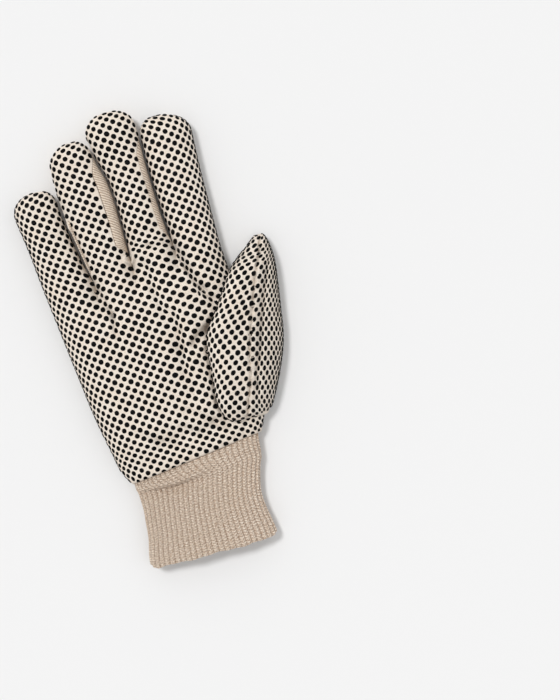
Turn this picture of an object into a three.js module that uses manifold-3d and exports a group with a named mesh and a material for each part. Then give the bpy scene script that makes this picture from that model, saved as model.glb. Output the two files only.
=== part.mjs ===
// A cotton work glove, palm up: dotted canvas palm, plain twill back, set-in thumb, ribbed knit wrist.
// Lengths are millimetres. X runs to the thumb side, Y to the fingertips, Z up out of the palm.
import * as THREE from "three";
import { mergeVertices } from "three/addons/utils/BufferGeometryUtils.js";
import Module from "manifold-3d";

// Cloth
const canvasWall = 1.5;
const knitWall = 2.2;
const seamGap = 0.3;
const wristGap = 0.45;

// Height of the side seams above the table, and the lengths over which valleys sink to the crotches
const sideHeight = 7.5;
const palmValleyLength = 24;
const backValleyLength = 9;

// Section shapes: how square the fingers and the palm are across, and how flat they lie
const fingerSquareness = 2.6;
const palmSquareness = 3;
const fingerFlatness = 1.45;
const palmFlatness = 1.6;

// The wrist seam climbs from the little finger's side to the thumb's side
const wristSeamLeft = -80.5;
const wristSeamRight = -70;
const wristLines = [
  { front: -42.5, back: -42.5 },
  { front: -27, back: -35 },
  { front: -8, back: -8 },
  { front: 14, back: 20.5 },
  { front: 34, back: 34 },
];

// Mesh steps
const palmRows = 11;
const fingerRows = 6;
const tipRows = 5;
const frontColumns = 8;
const backColumns = 8;
const thumbRows = 16;
const thumbColumns = 24;
const cuffRows = 8;
const cuffRibs = 52;

// Width and height of the hand, from the wrist seam to the roots of the fingers
const palm = [
  { along: -82, left: -42.5, right: 33, crown: 16 },
  { along: -72, left: -47.7, right: 35.6, crown: 17 },
  { along: -60.7, left: -50, right: 40.2, crown: 19 },
  { along: -46.3, left: -52.9, right: 43, crown: 20.5 },
  { along: -31.9, left: -55.2, right: 44.3, crown: 21.5 },
  { along: -17.5, left: -56.9, right: 45.7, crown: 22 },
  { along: -3.2, left: -58.7, right: 46.3, crown: 22 },
  { along: 11.2, left: -60.4, right: 44.9, crown: 21.5 },
  { along: 25.6, left: -62.1, right: 42, crown: 20 },
  { along: 40, left: -63.8, right: 40.8, crown: 18 },
];

// The crotches between the fingers, and the outer edges of the hand beside them
const valleys = [
  { crotchX: -63.8, crotchAlong: 37 },
  { crotchX: -35.1, crotchAlong: 38.2 },
  { crotchX: -10.9, crotchAlong: 42.8 },
  { crotchX: 15, crotchAlong: 46.9 },
  { crotchX: 40.8, crotchAlong: 44 },
];

// The three seams of the back, from the wrist to the crotches
const backSeams = [
  { along: -80, little: -35, centre: -8, index: 20.5 },
  { along: -58, little: -42, centre: -8.6, index: 21 },
  { along: -37, little: -44.3, centre: -9.2, index: 20.7 },
  { along: -3, little: -42.6, centre: -10, index: 19 },
  { along: 25, little: -38, centre: -10.6, index: 16.5 },
  { along: 38.2, little: -35.1, centre: -10.8, index: 15.6 },
  { along: 47, little: -35.1, centre: -10.9, index: 15 },
];

// Fingers, little finger first: edges and height, the sewn tip, and where the plain back shows in front
const fingers = [
  {
    tipX: -54.6,
    tipAlong: 96.3,
    tipLength: 12,
    plainEdge: 0,
    rows: [
      { along: 36, left: -63.4, right: -34.9, height: 17 },
      { along: 40, left: -63.8, right: -35.8, height: 17 },
      { along: 48.6, left: -64.7, right: -38.2, height: 16.6 },
      { along: 60.1, left: -65.8, right: -40.5, height: 16 },
      { along: 71.6, left: -67.3, right: -42.3, height: 15.5 },
      { along: 83, left: -68.9, right: -43.8, height: 15 },
      { along: 97, left: -69.5, right: -43.9, height: 15 },
    ],
  },
  {
    tipX: -27.6,
    tipAlong: 118.7,
    tipLength: 12,
    plainEdge: 56,
    rows: [
      { along: 36, left: -35, right: -10.8, height: 17.5 },
      { along: 45.7, left: -36, right: -11.2, height: 17.5 },
      { along: 54.3, left: -37.4, right: -11.2, height: 17 },
      { along: 68.7, left: -39.7, right: -11.2, height: 16.5 },
      { along: 83, left: -41.8, right: -11.7, height: 16 },
      { along: 92.9, left: -42.2, right: -12.8, height: 15.5 },
      { along: 103, left: -42.2, right: -15.6, height: 15.5 },
      { along: 119, left: -41.5, right: -18.5, height: 15.5 },
    ],
  },
  {
    tipX: -2.9,
    tipAlong: 130.2,
    tipLength: 12,
    plainEdge: 40,
    rows: [
      { along: 42, left: -10.8, right: 14.9, height: 17.5 },
      { along: 47, left: -10.5, right: 14.8, height: 17.5 },
      { along: 54.3, left: -10.2, right: 13.8, height: 17 },
      { along: 68.7, left: -10.2, right: 12.7, height: 16.5 },
      { along: 83, left: -10.5, right: 12.1, height: 16 },
      { along: 92.9, left: -11.6, right: 11.8, height: 16 },
      { along: 103, left: -14.2, right: 11.8, height: 15.5 },
      { along: 112, left: -16.4, right: 11.9, height: 15.5 },
      { along: 121, left: -17.6, right: 11.6, height: 15.5 },
      { along: 131, left: -17.6, right: 11.4, height: 15.5 },
    ],
  },
  {
    tipX: 24.2,
    tipAlong: 121,
    tipLength: 13,
    plainEdge: 0,
    rows: [
      { along: 44, left: 15, right: 40.8, height: 17.5 },
      { along: 54.3, left: 14.9, right: 40.8, height: 17 },
      { along: 68.7, left: 13.8, right: 40.9, height: 16.5 },
      { along: 83, left: 13.2, right: 41, height: 16 },
      { along: 97.5, left: 12.9, right: 41.5, height: 15.5 },
      { along: 109, left: 13, right: 42, height: 15.5 },
      { along: 121, left: 13, right: 42, height: 15.5 },
    ],
  },
];

// Creases and soft folds of the palm side: two ends, half width and depth, a negative depth for a ridge
const folds = [
  { x1: -35, y1: 38, x2: -26, y2: 16, wide: 3, deep: 1.6 },
  { x1: 15, y1: 46, x2: 29, y2: 8, wide: 3, deep: 2 },
  { x1: -3, y1: 40, x2: 3.5, y2: -12, wide: 4, deep: 1.5 },
  { x1: 3.5, y1: -12, x2: 6, y2: -38, wide: 4, deep: 1.2 },
  { x1: -22, y1: -52, x2: 17, y2: -48, wide: 5, deep: -1.1 },
  { x1: -20, y1: -62, x2: 18, y2: -58, wide: 4, deep: 1.3 },
  { x1: -9, y1: 55, x2: 9, y2: 57, wide: 3, deep: 1.2 },
  { x1: -48, y1: 20, x2: -50, y2: -30, wide: 6, deep: 0.9 },
];

// The thumb lies over the thumb side of the palm: edges and rise above the line between its edges
const thumb = [
  { along: -60.7, left: 27, right: 37.5, rise: 0 },
  { along: -59.8, left: 23, right: 42.2, rise: 4 },
  { along: -57.8, left: 19.8, right: 45.4, rise: 6.4 },
  { along: -53.2, left: 17.6, right: 48.4, rise: 8.8 },
  { along: -46.3, left: 16.6, right: 52, rise: 10.6 },
  { along: -37.7, left: 17.4, right: 56.2, rise: 11.8 },
  { along: -26.2, left: 18.4, right: 60.8, rise: 12.4 },
  { along: -14.7, left: 19.4, right: 63.8, rise: 12.6 },
  { along: -6, left: 22.4, right: 65, rise: 12.6 },
  { along: 2.6, left: 28.6, right: 66.4, rise: 12.5 },
  { along: 11.2, left: 34.6, right: 67.6, rise: 12.4 },
  { along: 22.7, left: 41.6, right: 69, rise: 11.8 },
  { along: 29.6, left: 47.2, right: 69, rise: 10.4 },
  { along: 35.9, left: 54.4, right: 68, rise: 7.5 },
  { along: 38.8, left: 58, right: 67, rise: 4.6 },
  { along: 40, left: 61, right: 65.6, rise: 0 },
];
const thumbFirst = thumb[0].along;
const thumbLast = thumb[thumb.length - 1].along;
const thumbEdgeRise = 3;
const thumbOuterEdge = 7;
const thumbClearance = 0.4;
const thumbSideClearance = 1.6;
const palmDrape = 7;

// The oval through which the thumb opens into the hand
const thumbHole = { x: 30, along: -32, halfWide: 9, halfLong: 18, below: 4.5, above: 3.4 };

// The knit wrist, from its hem to the seam
const cuff = [
  { along: -131, left: -45.7, right: 30.7, height: 17.6 },
  { along: -126, left: -45.4, right: 30.2, height: 17 },
  { along: -121, left: -44.6, right: 29.4, height: 16.4 },
  { along: -112.4, left: -42.7, right: 27.8, height: 15.4 },
  { along: -103.8, left: -42, right: 27.3, height: 14.8 },
  { along: -96.3, left: -41.4, right: 28.6, height: 14.6 },
  { along: -88, left: -41.8, right: 31, height: 15.2 },
  { along: -84, left: -42.2, right: 32.6, height: 16.4 },
  { along: -70, left: -42.6, right: 34.2, height: 16.4 },
];
const cuffHem = -130.2;
const hemCornerWidth = 0.14;
const hemCornerRise = 3.6;
const cuffTopLeft = -42.4;
const cuffTopRight = 34;
const ribDepth = 0.6;

const wasm = await Module();
wasm.setup();

function clamp(t) {
  return Math.min(1, Math.max(0, t));
}

function smooth(t) {
  const c = clamp(t);
  return c * c * (3 - 2 * c);
}

function mix(a, b, t) {
  return a + (b - a) * t;
}

// A column of a table at a place along the glove, as a smooth curve through the rows
function between(rows, name, along) {
  const last = rows.length - 1;
  const at = Math.min(rows[last].along, Math.max(rows[0].along, along));
  let i = 0;
  while (i < last - 1 && rows[i + 1].along < at) {
    i += 1;
  }
  const slope = (j) => {
    const a = rows[Math.max(j - 1, 0)];
    const b = rows[Math.min(j + 1, last)];
    return (b[name] - a[name]) / (b.along - a.along);
  };
  const span = rows[i + 1].along - rows[i].along;
  const t = (at - rows[i].along) / span;
  const u = 1 - t;
  const ends = rows[i][name] * u * u * (1 + 2 * t) + rows[i + 1][name] * t * t * (3 - 2 * t);
  return ends + span * (slope(i) * t * u * u - slope(i + 1) * t * t * u);
}

// The rounding of a section from its middle (0) to its edge (1 or -1)
function rounding(across, squareness, power) {
  const open = 1 - Math.abs(across) ** squareness;
  return open > 1e-6 ? open ** power : 0;
}

function wristSeam(x) {
  const first = wristLines[0].front;
  const last = wristLines[4].front;
  return mix(wristSeamLeft, wristSeamRight, (x - first) / (last - first));
}

// Edges of the whole hand at a place along it
function handEdges(along) {
  const little = along > 40 ? between(fingers[0].rows, "left", along) : between(palm, "left", along);
  const index = along > 44 ? between(fingers[3].rows, "right", along) : between(palm, "right", along);
  return { left: little, right: index };
}

// Line number k between the fingers, in front (0 and 4 are the outer edges of the hand)
function valleyX(k, along) {
  if (k === 0) {
    return handEdges(along).left;
  }
  if (k === 4) {
    return handEdges(along).right;
  }
  const v = valleys[k];
  const wristX = wristLines[k].front;
  const t = (along - v.crotchAlong) / (wristSeam(wristX) - v.crotchAlong);
  return mix(v.crotchX, wristX, t);
}

// Seam number k of the back
function backSeamX(k, along) {
  if (k === 0 || k === 4) {
    return valleyX(k, along);
  }
  return between(backSeams, ["", "little", "centre", "index"][k], along);
}

// How far a fold lowers the palm side
function foldDepth(x, along) {
  let sum = 0;
  for (const f of folds) {
    const dx = f.x2 - f.x1;
    const dy = f.y2 - f.y1;
    const t = clamp(((x - f.x1) * dx + (along - f.y1) * dy) / (dx * dx + dy * dy));
    const away = Math.hypot(x - f.x1 - t * dx, along - f.y1 - t * dy);
    sum += f.deep * Math.exp(-((away / f.wide) ** 2));
  }
  return sum;
}

// Height of the palm side of the hand without its creases; inset moves inwards by a wall
function palmTop(x, along, inset, grown) {
  const edges = handEdges(along);
  const half = (edges.right - edges.left) / 2 - inset + grown;
  const across = (x - (edges.left + edges.right) / 2) / half;
  const rise = between(palm, "crown", along) - sideHeight - inset;
  return sideHeight + rise * rounding(across, palmSquareness, 0.5);
}

// Height of the back of the hand, flat where it lies
function palmUnder(x, along, inset) {
  const edges = handEdges(along);
  const half = (edges.right - edges.left) / 2 - inset;
  const across = (x - (edges.left + edges.right) / 2) / half;
  const flat = Math.min(1, palmFlatness * rounding(across, 4, 0.5));
  return sideHeight - (sideHeight - inset) * flat;
}

// Part 0 to 1 of the way from the hand to separate fingers, at line k
function parting(k, along, inset, length) {
  const crotch = valleys[k].crotchAlong - inset;
  return smooth((along - crotch + length) / length);
}

// How much of the wall thickness an edge keeps clear on its own side of line k
function edgeInset(k, along, inset) {
  if (k === 0 || k === 4) {
    return inset;
  }
  const crotch = valleys[k].crotchAlong - inset;
  return inset * smooth((along - crotch) / (2.5 * inset + 0.01));
}

// A point of finger k's section: 180 degrees is its left edge, 90 its top, and under it 180 to 360
function strandPoint(k, angle, along, inset, back, trim) {
  const finger = fingers[k];
  const edgeX = back ? backSeamX : valleyX;
  const leftParted = along > valleys[k].crotchAlong - inset;
  const rightParted = along > valleys[k + 1].crotchAlong - inset;
  const leftRow = leftParted ? between(finger.rows, "left", along) : edgeX(k, along);
  const rightRow = rightParted ? between(finger.rows, "right", along) : edgeX(k + 1, along);
  const left = leftRow + edgeInset(k, along, inset) + trim.left;
  const right = rightRow - edgeInset(k + 1, along, inset) - trim.right;
  const tipEnd = finger.tipAlong - inset;
  const toTip = clamp((along - tipEnd + finger.tipLength) / finger.tipLength);
  const tipWidth = Math.sqrt(1 - 0.95 * toTip ** 2.5);
  const tipHeight = Math.sqrt(Math.max(0, 1 - toTip ** 2.2));
  const middle = mix((left + right) / 2, finger.tipX, toTip * toTip);
  const across = Math.cos(angle);
  const x = middle + ((right - left) / 2) * tipWidth * across;
  const share = (1 + across) / 2;
  if (back && angle <= 2 * Math.PI) {
    const w = mix(
      parting(k, along, inset, backValleyLength),
      parting(k + 1, along, inset, backValleyLength),
      share,
    );
    const flat = Math.min(1, fingerFlatness * rounding(across, fingerSquareness, 0.5));
    const under = sideHeight - (sideHeight - inset) * tipHeight * flat;
    return [x, along, mix(palmUnder(x, along, inset), under, w)];
  }
  const wLeft = parting(k, along, inset, palmValleyLength);
  const wRight = parting(k + 1, along, inset, palmValleyLength);
  const w = mix(wLeft, wRight, share);
  const steepLeft = k === 0 ? 0.5 : mix(1, 0.5, smooth((wLeft - 0.6) / 0.4));
  const steepRight = k === 3 ? 0.5 : mix(1, 0.5, smooth((wRight - 0.6) / 0.4));
  const power = mix(steepLeft, steepRight, share);
  const round = rounding(across, fingerSquareness, power);
  const rise = between(finger.rows, "height", along) - sideHeight - inset;
  const top = sideHeight + rise * tipHeight * round;
  const edges = handEdges(along);
  const halfHand = (edges.right - edges.left) / 2 - inset;
  const acrossHand = (x - (edges.left + edges.right) / 2) / halfHand;
  const fade = rounding(acrossHand, 4, 1) * mix(1, round, w);
  return [x, along, mix(palmTop(x, along, inset, 0), top, w) - foldDepth(x, along) * fade];
}

// The angle at which the dotted front of finger k ends and the plain back begins
function plainAngle(k, along) {
  const finger = fingers[k];
  const parted = smooth((along - valleys[k + 1].crotchAlong) / 22);
  const closing = smooth((finger.tipAlong - 4 - along) / 22);
  return (finger.plainEdge * parted * closing * Math.PI) / 180;
}

// Where row i lies along the glove on strand k, at a share across it
function rowAlong(k, i, share, inset, side, tipTrim) {
  const crotch = mix(valleys[k].crotchAlong, valleys[k + 1].crotchAlong, share) - inset;
  if (i <= palmRows) {
    const t = 1 - (1 - i / palmRows) ** 1.5;
    const wristX = mix(wristLines[k][side], wristLines[k + 1][side], share);
    return mix(wristSeam(wristX), crotch, t);
  }
  const finger = fingers[k];
  const tipStart = finger.tipAlong - inset - finger.tipLength;
  if (i <= palmRows + fingerRows) {
    return mix(crotch, tipStart, (i - palmRows) / fingerRows);
  }
  const q = Math.sin(((i - palmRows - fingerRows) / tipRows) * (Math.PI / 2));
  return tipStart + finger.tipLength * Math.min(q, 1 - tipTrim);
}

const rowsInAll = palmRows + fingerRows + tipRows;

// One grid of strand k: its front, or its back from the left side under to the right side
function strand(k, back, trim) {
  const columns = back ? backColumns : frontColumns;
  return {
    rows: rowsInAll,
    columns,
    turned: back,
    place: (i, j, inset) => {
      const s = j / columns;
      const straight = back ? Math.PI * (1 + s) : Math.PI * (1 - s);
      const share = (1 + Math.cos(straight)) / 2;
      const side = back ? "back" : "front";
      const along = rowAlong(k, i, share, inset, side, trim.tip);
      const edge = plainAngle(k, along);
      const left = Math.PI + trim.turn;
      const right = 2 * Math.PI + edge * 0.96 - trim.turn;
      const angle = back ? mix(left, right, s) : mix(Math.PI, edge, s);
      return strandPoint(k, angle, along, inset, back, trim);
    },
  };
}

// A closed cloth solid from grids: the outer faces, the inner faces and the rims along open edges
function clothSolid(grids, wall) {
  const outer = [];
  const inner = [];
  const known = new Map();
  const quads = [];
  const idOf = (o, n) => {
    const key = [...o, ...n].map((c) => Math.round(c * 100 + 0.137)).join(",");
    if (!known.has(key)) {
      known.set(key, outer.length);
      outer.push(o);
      inner.push(n);
    }
    return known.get(key);
  };
  for (const g of grids) {
    const ids = [];
    for (let i = 0; i <= g.rows; i += 1) {
      const line = [];
      for (let j = 0; j <= g.columns; j += 1) {
        line.push(idOf(g.place(i, j, 0), g.place(i, j, wall)));
      }
      ids.push(line);
    }
    for (let i = 0; i < g.rows; i += 1) {
      for (let j = 0; j < g.columns; j += 1) {
        const q = [ids[i][j], ids[i][j + 1], ids[i + 1][j + 1], ids[i + 1][j]];
        quads.push(g.turned ? q.reverse() : q);
      }
    }
  }
  const count = outer.length;
  const triangles = [];
  const add = (a, b, c) => {
    if (a !== b && b !== c && c !== a) {
      triangles.push([a, b, c]);
    }
  };
  for (const [a, b, c, d] of quads) {
    add(a, b, c);
    add(a, c, d);
  }
  const edges = new Set(triangles.flatMap(([a, b, c]) => [`${a},${b}`, `${b},${c}`, `${c},${a}`]));
  const faces = [...triangles];
  for (const [a, b, c] of faces) {
    add(count + a, count + c, count + b);
  }
  for (const edge of edges) {
    const [a, b] = edge.split(",").map(Number);
    if (edges.has(`${b},${a}`)) {
      continue;
    }
    if (outer[a][1] < outer[b][1]) {
      add(b, a, count + b);
      add(a, count + a, count + b);
    } else {
      add(b, a, count + a);
      add(b, count + a, count + b);
    }
  }
  return solidOf([...outer, ...inner], triangles);
}

function solidOf(points, triangles) {
  const loose = new THREE.BufferGeometry();
  loose.setAttribute("position", new THREE.Float32BufferAttribute(points.flat(), 3));
  loose.setIndex(triangles.flat());
  const merged = mergeVertices(loose, 1e-3);
  const mesh = new wasm.Mesh({
    numProp: 3,
    vertProperties: merged.attributes.position.array,
    triVerts: new Uint32Array(merged.index.array),
  });
  return new wasm.Manifold(mesh);
}

// The surface that the thumb lies on: the palm side, then the drape down from its edge to the table
function thumbBed(x, along) {
  const edge = handEdges(along).right + thumbSideClearance;
  if (x <= edge) {
    return palmTop(x, along, 0, thumbSideClearance) + thumbClearance;
  }
  return (sideHeight + thumbClearance) * (1 - smooth((x - edge) / palmDrape));
}

// A point of the thumb's closed section
function thumbPoint(angle, along, inset) {
  const left = between(thumb, "left", along) + inset;
  const right = between(thumb, "right", along) - inset;
  const across = Math.cos(angle);
  const x = mix(left, right, (1 + across) / 2);
  const leftHeight = thumbBed(left - inset, along) + thumbEdgeRise;
  const line = mix(leftHeight, thumbOuterEdge, (1 + across) / 2);
  const bed = thumbBed(x, along) + inset;
  const round = rounding(across, 2.4, 0.5);
  const share = (along - thumbFirst - inset) / (thumbLast - thumbFirst - 2 * inset);
  const outerRise = between(thumb, "rise", mix(thumbFirst, thumbLast, share));
  const rise = outerRise - inset * smooth(outerRise / 4);
  const closing = clamp(rise / 5);
  const base = mix(Math.max(line, bed), line, closing);
  if (Math.sin(angle) >= -1e-9) {
    return [x, along, base + rise * round];
  }
  return [x, along, mix(base, bed, Math.min(1, 1.6 * round) * closing)];
}

const thumbGrid = {
  rows: thumbRows,
  columns: thumbColumns,
  turned: false,
  place: (i, j, inset) => {
    const t = (1 - Math.cos((Math.PI * i) / thumbRows)) / 2;
    const along = mix(thumbFirst + inset, thumbLast - inset, t);
    const angle = Math.PI - (2 * Math.PI * (j % thumbColumns)) / thumbColumns;
    return thumbPoint(angle, along, inset);
  },
};

// The cutter for the oval between thumb and hand, which follows the surface between them
function holeCutter() {
  const round = 28;
  const points = [];
  const triangles = [];
  for (const lift of [-thumbHole.below, thumbHole.above]) {
    points.push([thumbHole.x, thumbHole.along, thumbBed(thumbHole.x, thumbHole.along) + lift]);
    for (let i = 0; i < round; i += 1) {
      const angle = (2 * Math.PI * i) / round;
      const x = thumbHole.x + thumbHole.halfWide * Math.cos(angle);
      const y = thumbHole.along + thumbHole.halfLong * Math.sin(angle);
      points.push([x, y, thumbBed(x, y) + lift]);
    }
  }
  const top = round + 1;
  for (let i = 0; i < round; i += 1) {
    const a = 1 + i;
    const b = 1 + ((i + 1) % round);
    triangles.push([0, b, a], [top, top + a, top + b]);
    triangles.push([a, b, top + b], [a, top + b, top + a]);
  }
  return solidOf(points, triangles);
}

// Points evenly spaced round the wrist's section, with a groove between each two ribs
function cuffPoint(column, share, inset) {
  const outline = [];
  const steps = 240;
  const rowAt = (angle) => {
    const across = Math.cos(angle);
    const top = wristSeam(mix(cuffTopLeft, cuffTopRight, (1 + across) / 2)) - wristGap;
    const corner = clamp((Math.abs(across) - 1 + hemCornerWidth) / hemCornerWidth);
    const hem = cuffHem + hemCornerRise * (1 - Math.sqrt(1 - corner * corner));
    const along = mix(hem, top, share);
    const left = between(cuff, "left", along) + inset;
    const right = between(cuff, "right", along) - inset;
    const x = mix(left, right, (1 + across) / 2);
    const rise = between(cuff, "height", along) - sideHeight - inset;
    const round = rounding(across, 2.8, 0.5);
    if (Math.sin(angle) >= 0) {
      return [x, along, sideHeight + rise * round];
    }
    return [x, along, sideHeight - (sideHeight - inset) * Math.min(1, 1.5 * round)];
  };
  let length = 0;
  for (let i = 0; i <= steps; i += 1) {
    const p = rowAt(Math.PI - (2 * Math.PI * i) / steps);
    if (i > 0) {
      const q = outline[i - 1].p;
      length += Math.hypot(p[0] - q[0], p[2] - q[2]);
    }
    outline.push({ p, length });
  }
  const columns = 2 * cuffRibs;
  const wanted = ((column % columns) / columns) * length;
  let i = 0;
  while (i < steps - 1 && outline[i + 1].length < wanted) {
    i += 1;
  }
  const a = outline[i];
  const b = outline[i + 1];
  const t = (wanted - a.length) / (b.length - a.length || 1);
  const p = a.p.map((c, m) => mix(c, b.p[m], t));
  if (inset > 0 || column % 2 === 0) {
    return p;
  }
  const dx = b.p[0] - a.p[0];
  const dz = b.p[2] - a.p[2];
  const size = Math.hypot(dx, dz) || 1;
  return [p[0] + (dz / size) * ribDepth, p[1], p[2] - (dx / size) * ribDepth];
}

const cuffGrid = {
  rows: cuffRows,
  columns: 2 * cuffRibs,
  turned: false,
  place: (i, j, inset) => cuffPoint(j, i / cuffRows, inset),
};

const plain = { left: 0, right: 0, turn: 0, tip: 0 };
const turn = 0.024;
const ringTrim = { left: seamGap, right: seamGap / 2, turn, tip: 0.002 };
const middleTrim = { left: seamGap / 2, right: seamGap, turn, tip: 0.002 };

const palmGrids = [
  ...[0, 1, 2, 3].map((k) => strand(k, false, plain)),
  strand(0, true, plain),
  strand(3, true, plain),
];
const hole = holeCutter();
const palmSolid = clothSolid(palmGrids, canvasWall).subtract(hole);
const thumbSolid = clothSolid([thumbGrid], canvasWall).subtract(hole);
const ringBack = clothSolid([strand(1, true, ringTrim)], canvasWall);
const middleBack = clothSolid([strand(2, true, middleTrim)], canvasWall);
const wrist = clothSolid([cuffGrid], knitWall);

const group = new THREE.Group();

function addPiece(name, solid, colour, roughness) {
  const mesh = solid.getMesh();
  const geometry = new THREE.BufferGeometry();
  geometry.setAttribute("position", new THREE.BufferAttribute(mesh.vertProperties, 3));
  geometry.setIndex(new THREE.BufferAttribute(mesh.triVerts, 1));
  geometry.computeVertexNormals();
  const material = new THREE.MeshStandardMaterial({ color: colour, roughness, metalness: 0 });
  const piece = new THREE.Mesh(geometry, material);
  piece.name = name;
  group.add(piece);
}

addPiece("palm_piece", palmSolid, "#e9d9c3", 0.9);
addPiece("back_panel_ring_side", ringBack, "#cbb79f", 0.9);
addPiece("back_panel_middle_side", middleBack, "#cdb9a1", 0.9);
addPiece("thumb", thumbSolid, "#e7d6bf", 0.9);
addPiece("knit_wrist", wrist, "#c4b19b", 0.95);

export default group;
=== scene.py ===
"""Dotted canvas work glove, palm up, dressed over its solids.

The cloth pieces are surfaces computed on grids: each is a function of a place along the glove and a
place across it. The dots follow the cloth by arc length. Lengths in the tables are millimetres.
"""

import math

import bpy
import numpy as np
from bpy.props import FloatProperty, FloatVectorProperty, IntProperty, PointerProperty
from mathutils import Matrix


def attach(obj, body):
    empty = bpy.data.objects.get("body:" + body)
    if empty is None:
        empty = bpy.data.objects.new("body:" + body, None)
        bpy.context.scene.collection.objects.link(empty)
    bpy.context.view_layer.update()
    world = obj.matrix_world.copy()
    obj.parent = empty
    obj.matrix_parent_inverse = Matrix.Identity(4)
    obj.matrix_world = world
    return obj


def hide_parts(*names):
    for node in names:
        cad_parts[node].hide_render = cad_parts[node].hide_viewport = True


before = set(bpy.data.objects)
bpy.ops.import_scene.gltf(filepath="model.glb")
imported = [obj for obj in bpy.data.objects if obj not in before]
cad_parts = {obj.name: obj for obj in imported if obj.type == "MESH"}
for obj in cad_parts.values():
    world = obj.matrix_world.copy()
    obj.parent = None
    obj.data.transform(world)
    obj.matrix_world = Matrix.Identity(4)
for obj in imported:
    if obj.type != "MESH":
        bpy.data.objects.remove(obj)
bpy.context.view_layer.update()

bl_info = {
    "name": "Dotted Work Glove",
    "version": (1, 0, 0),
    "blender": (4, 5, 0),
    "location": "3D View > Sidebar > Glove",
    "description": "Builds a dotted canvas work glove with a knit wrist",
    "category": "Add Mesh",
}

MM = 0.001
PI = math.pi

# Cloth
CANVAS_WALL = 1.2
KNIT_WALL = 2.2
SEAM_GAP = 0.3
SEW_REACH = 0.02
WRIST_TUCK = 0.7

# Section shapes
SIDE_HEIGHT = 7.5
PRESSED_SHIFT = 16
PALM_VALLEY_LENGTH = 24
BACK_VALLEY_LENGTH = 9
FINGER_SQUARENESS = 2.6
PALM_SQUARENESS = 3
BACK_SQUARENESS = 4
THUMB_SQUARENESS = 2.4
CUFF_SQUARENESS = 2.8
FINGER_FLATNESS = 1.45
PALM_FLATNESS = 1.6
THUMB_FLATNESS = 1.6
CUFF_FLATNESS = 1.5
TIP_NARROWING = 0.95
TIP_WIDTH_POWER = 2.5
TIP_HEIGHT_POWER = 2.2

# Small relief of the hand: half width and height across its line
WRIST_SEAM_DIP = (1.3, 0.9)
WRIST_GATHERS = (5.5, 0.4)
THUMB_JOIN = (0.7, 0.7)
CROTCH_RIM = (0.9, 4.5)
CROTCH_RIM_RADIUS = 2.1
RING_LIP = (1.1, 5.4)

# The wrist seam climbs from the little finger's side to the thumb's side
WRIST_SEAM = (-80.5, -70)
WRIST_LINES_FRONT = (-42.5, -27, -8, 14, 34)
WRIST_LINES_BACK = (-42.5, -35, -8, 20.5, 34)

# The hand's outer edges: a finger, its side, and where its table takes over from the palm's
OUTER_EDGES = ((0, "left", 40), (3, "right", 44))


def table(names, *rows):
    """A table as one array for each named column."""
    return dict(zip(names.split(), np.array(rows, dtype=float).T))


PALM = table(
    "along left right crown",
    (-82, -42.5, 33, 16), (-72, -47.7, 35.6, 17), (-60.7, -50, 40.2, 19),
    (-46.3, -52.9, 43, 20.5), (-31.9, -55.2, 44.3, 21.5), (-17.5, -56.9, 45.7, 22),
    (-3.2, -58.7, 46.3, 22), (11.2, -60.4, 44.9, 21.5), (25.6, -62.1, 42, 20),
    (40, -63.8, 40.8, 18),
)

# The crotches between the fingers; 0 and 4 are the outer edges of the hand
CROTCH_X = (-63.8, -35.1, -10.9, 15, 40.8)
CROTCH_ALONG = (37, 38.2, 45.3, 46.9, 44)

BACK_SEAMS = table(
    "along little centre index",
    (-80, -35, -8, 20.5), (-58, -42, -8.6, 21), (-37, -44.3, -9.2, 20.7),
    (-3, -42.6, -10, 19), (25, -38, -10.6, 16.5), (38.2, -35.1, -10.8, 15.6),
    (47, -35.1, -10.9, 15),
)

# Where each finger ends, and how far its plain back turns up at its right side and its left side,
# over what length it opens from the crotch, and where it ends
FINGER_TIPS = table(
    "x along length plain_right plain_left opens plain_end",
    (-54.6, 96.3, 12, 0, 0, 9, 96),
    (-27.6, 118.7, 12, 54, 24, 9, 114),
    (-2.9, 130.2, 12, 44, 0, 12, 119),
    (24.2, 121, 13, 0, 0, 9, 121),
)

# Each finger's edges and height at places along it
FINGERS = [
    table("along left right height", *rows)
    for rows in (
        (
            (36, -63.4, -34.9, 17), (40, -63.8, -35.8, 17), (48.6, -64.7, -38.2, 16.6),
            (60.1, -65.8, -40.5, 16), (71.6, -67.3, -42.3, 15.5), (83, -68.9, -43.8, 15),
            (97, -69.5, -43.9, 15),
        ),
        (
            (36, -35, -10.8, 17.5), (45.7, -36, -11.2, 17.5), (54.3, -37.4, -11.2, 17),
            (68.7, -39.7, -11.2, 16.5), (83, -41.8, -11.7, 16), (92.9, -42.2, -12.8, 15.5),
            (103, -42.2, -15.6, 15.5), (119, -41.5, -18.5, 15.5),
        ),
        (
            (42, -10.8, 14.9, 17.5), (47, -10.5, 14.8, 17.5), (54.3, -10.2, 13.8, 17),
            (68.7, -10.2, 12.7, 16.5), (83, -10.5, 12.1, 16), (92.9, -11.6, 11.8, 16),
            (103, -14.2, 11.8, 15.5), (112, -16.4, 11.9, 15.5), (121, -17.6, 11.6, 15.5),
            (131, -17.6, 11.4, 15.5),
        ),
        (
            (44, 15, 40.8, 17.5), (54.3, 14.9, 40.8, 17), (68.7, 13.8, 40.9, 16.5),
            (83, 13.2, 41, 16), (97.5, 12.9, 41.5, 15.5), (109, 13, 42, 15.5),
            (121, 13, 42, 15.5),
        ),
    )
]

# Creases and soft folds: two ends, half width and depth, a negative depth for a ridge
FOLDS = table(
    "x1 y1 x2 y2 wide deep",
    (-35, 38, -26, 16, 3, 1.6), (15, 46, 29, 8, 3, 2), (-3, 40, 3.5, -12, 4, 1.5),
    (3.5, -12, 6, -38, 4, 1.2), (-22, -52, 17, -48, 5, -1.1), (-20, -63, 18, -60, 3.4, 1.9),
    (-9, 55, 9, 57, 3, 1.2), (-48, 20, -50, -30, 6, 0.9),
)

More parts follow.
